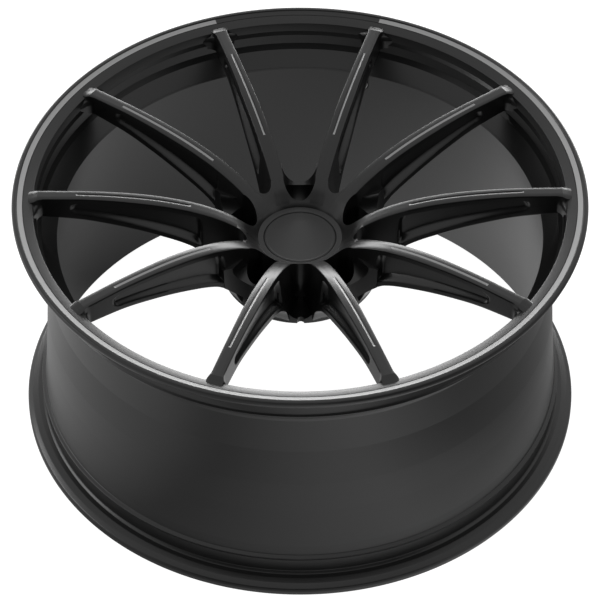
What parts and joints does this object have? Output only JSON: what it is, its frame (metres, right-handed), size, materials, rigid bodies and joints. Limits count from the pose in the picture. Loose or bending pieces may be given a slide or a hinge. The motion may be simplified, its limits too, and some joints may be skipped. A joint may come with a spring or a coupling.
{
  "type": "forged racing wheel rim",
  "caption": "Deep-concave forged car wheel with slim spokes in V pairs, a stepped outer lip, a long barrel, a pull-out centre cap and a clamp-in tyre valve.",
  "frame": {"origin": "centre of the inboard flange's rest circle, on the wheel's axis, with the wheel lying face up", "axes": "+Z along the wheel's axis out of the face, +X through the middle of one spoke, valve at 74.5 degrees from +X towards +Y"},
  "size_m": [0.5466, 0.5466, 0.2685],
  "materials": {
    "forging": "satin black powder coat on a forged and machined aluminium face",
    "barrel": "satin black powder coat on a spun aluminium barrel",
    "cap": "smooth satin black moulded plastic",
    "steel": "bright zinc",
    "brass": "dull turned brass",
    "rubber": "matt moulded rubber"
  },
  "bodies": {
    "wheel": {"outer_lip": "forging", "barrel": "barrel", "hub_centre": "forging", "mounting_pad": "forging", "spoke_01": "forging", "spoke_02": "forging", "spoke_03": "forging", "spoke_04": "forging", "spoke_05": "forging", "spoke_06": "forging", "spoke_07": "forging", "spoke_08": "forging", "spoke_09": "forging", "spoke_10": "forging", "valve_stem": "brass", "valve_gasket": "rubber", "valve_washer": "steel", "valve_nut": "steel", "valve_core_body": "brass", "valve_core_spring": "steel"},
    "centre_cap": {"cap_face": "cap", "cap_body": "cap", "cap_retaining_ring": "steel"},
    "valve_pin": {"valve_core_pin": "brass"},
    "valve_dust_cap": {"valve_cap": "cap", "valve_cap_seal": "rubber"}
  },
  "joints": [
    {"name": "centre_cap_pull", "type": "slide", "parent": "wheel", "child": "centre_cap", "axis": [0, 0, 1], "range_m": [0, 0.09]},
    {"name": "valve_pin_press", "type": "slide", "parent": "wheel", "child": "valve_pin", "axis": [0.2672, 0.9636, 0], "range_m": [0, 0.0015], "stiffness_N_per_m": 3000, "springref_m": -0.001, "deforming": ["valve_core_spring"]},
    {"name": "valve_cap_pull", "type": "slide", "parent": "wheel", "child": "valve_dust_cap", "axis": [-0.2672, -0.9636, 0], "range_m": [0, 0.02]}
  ]
}
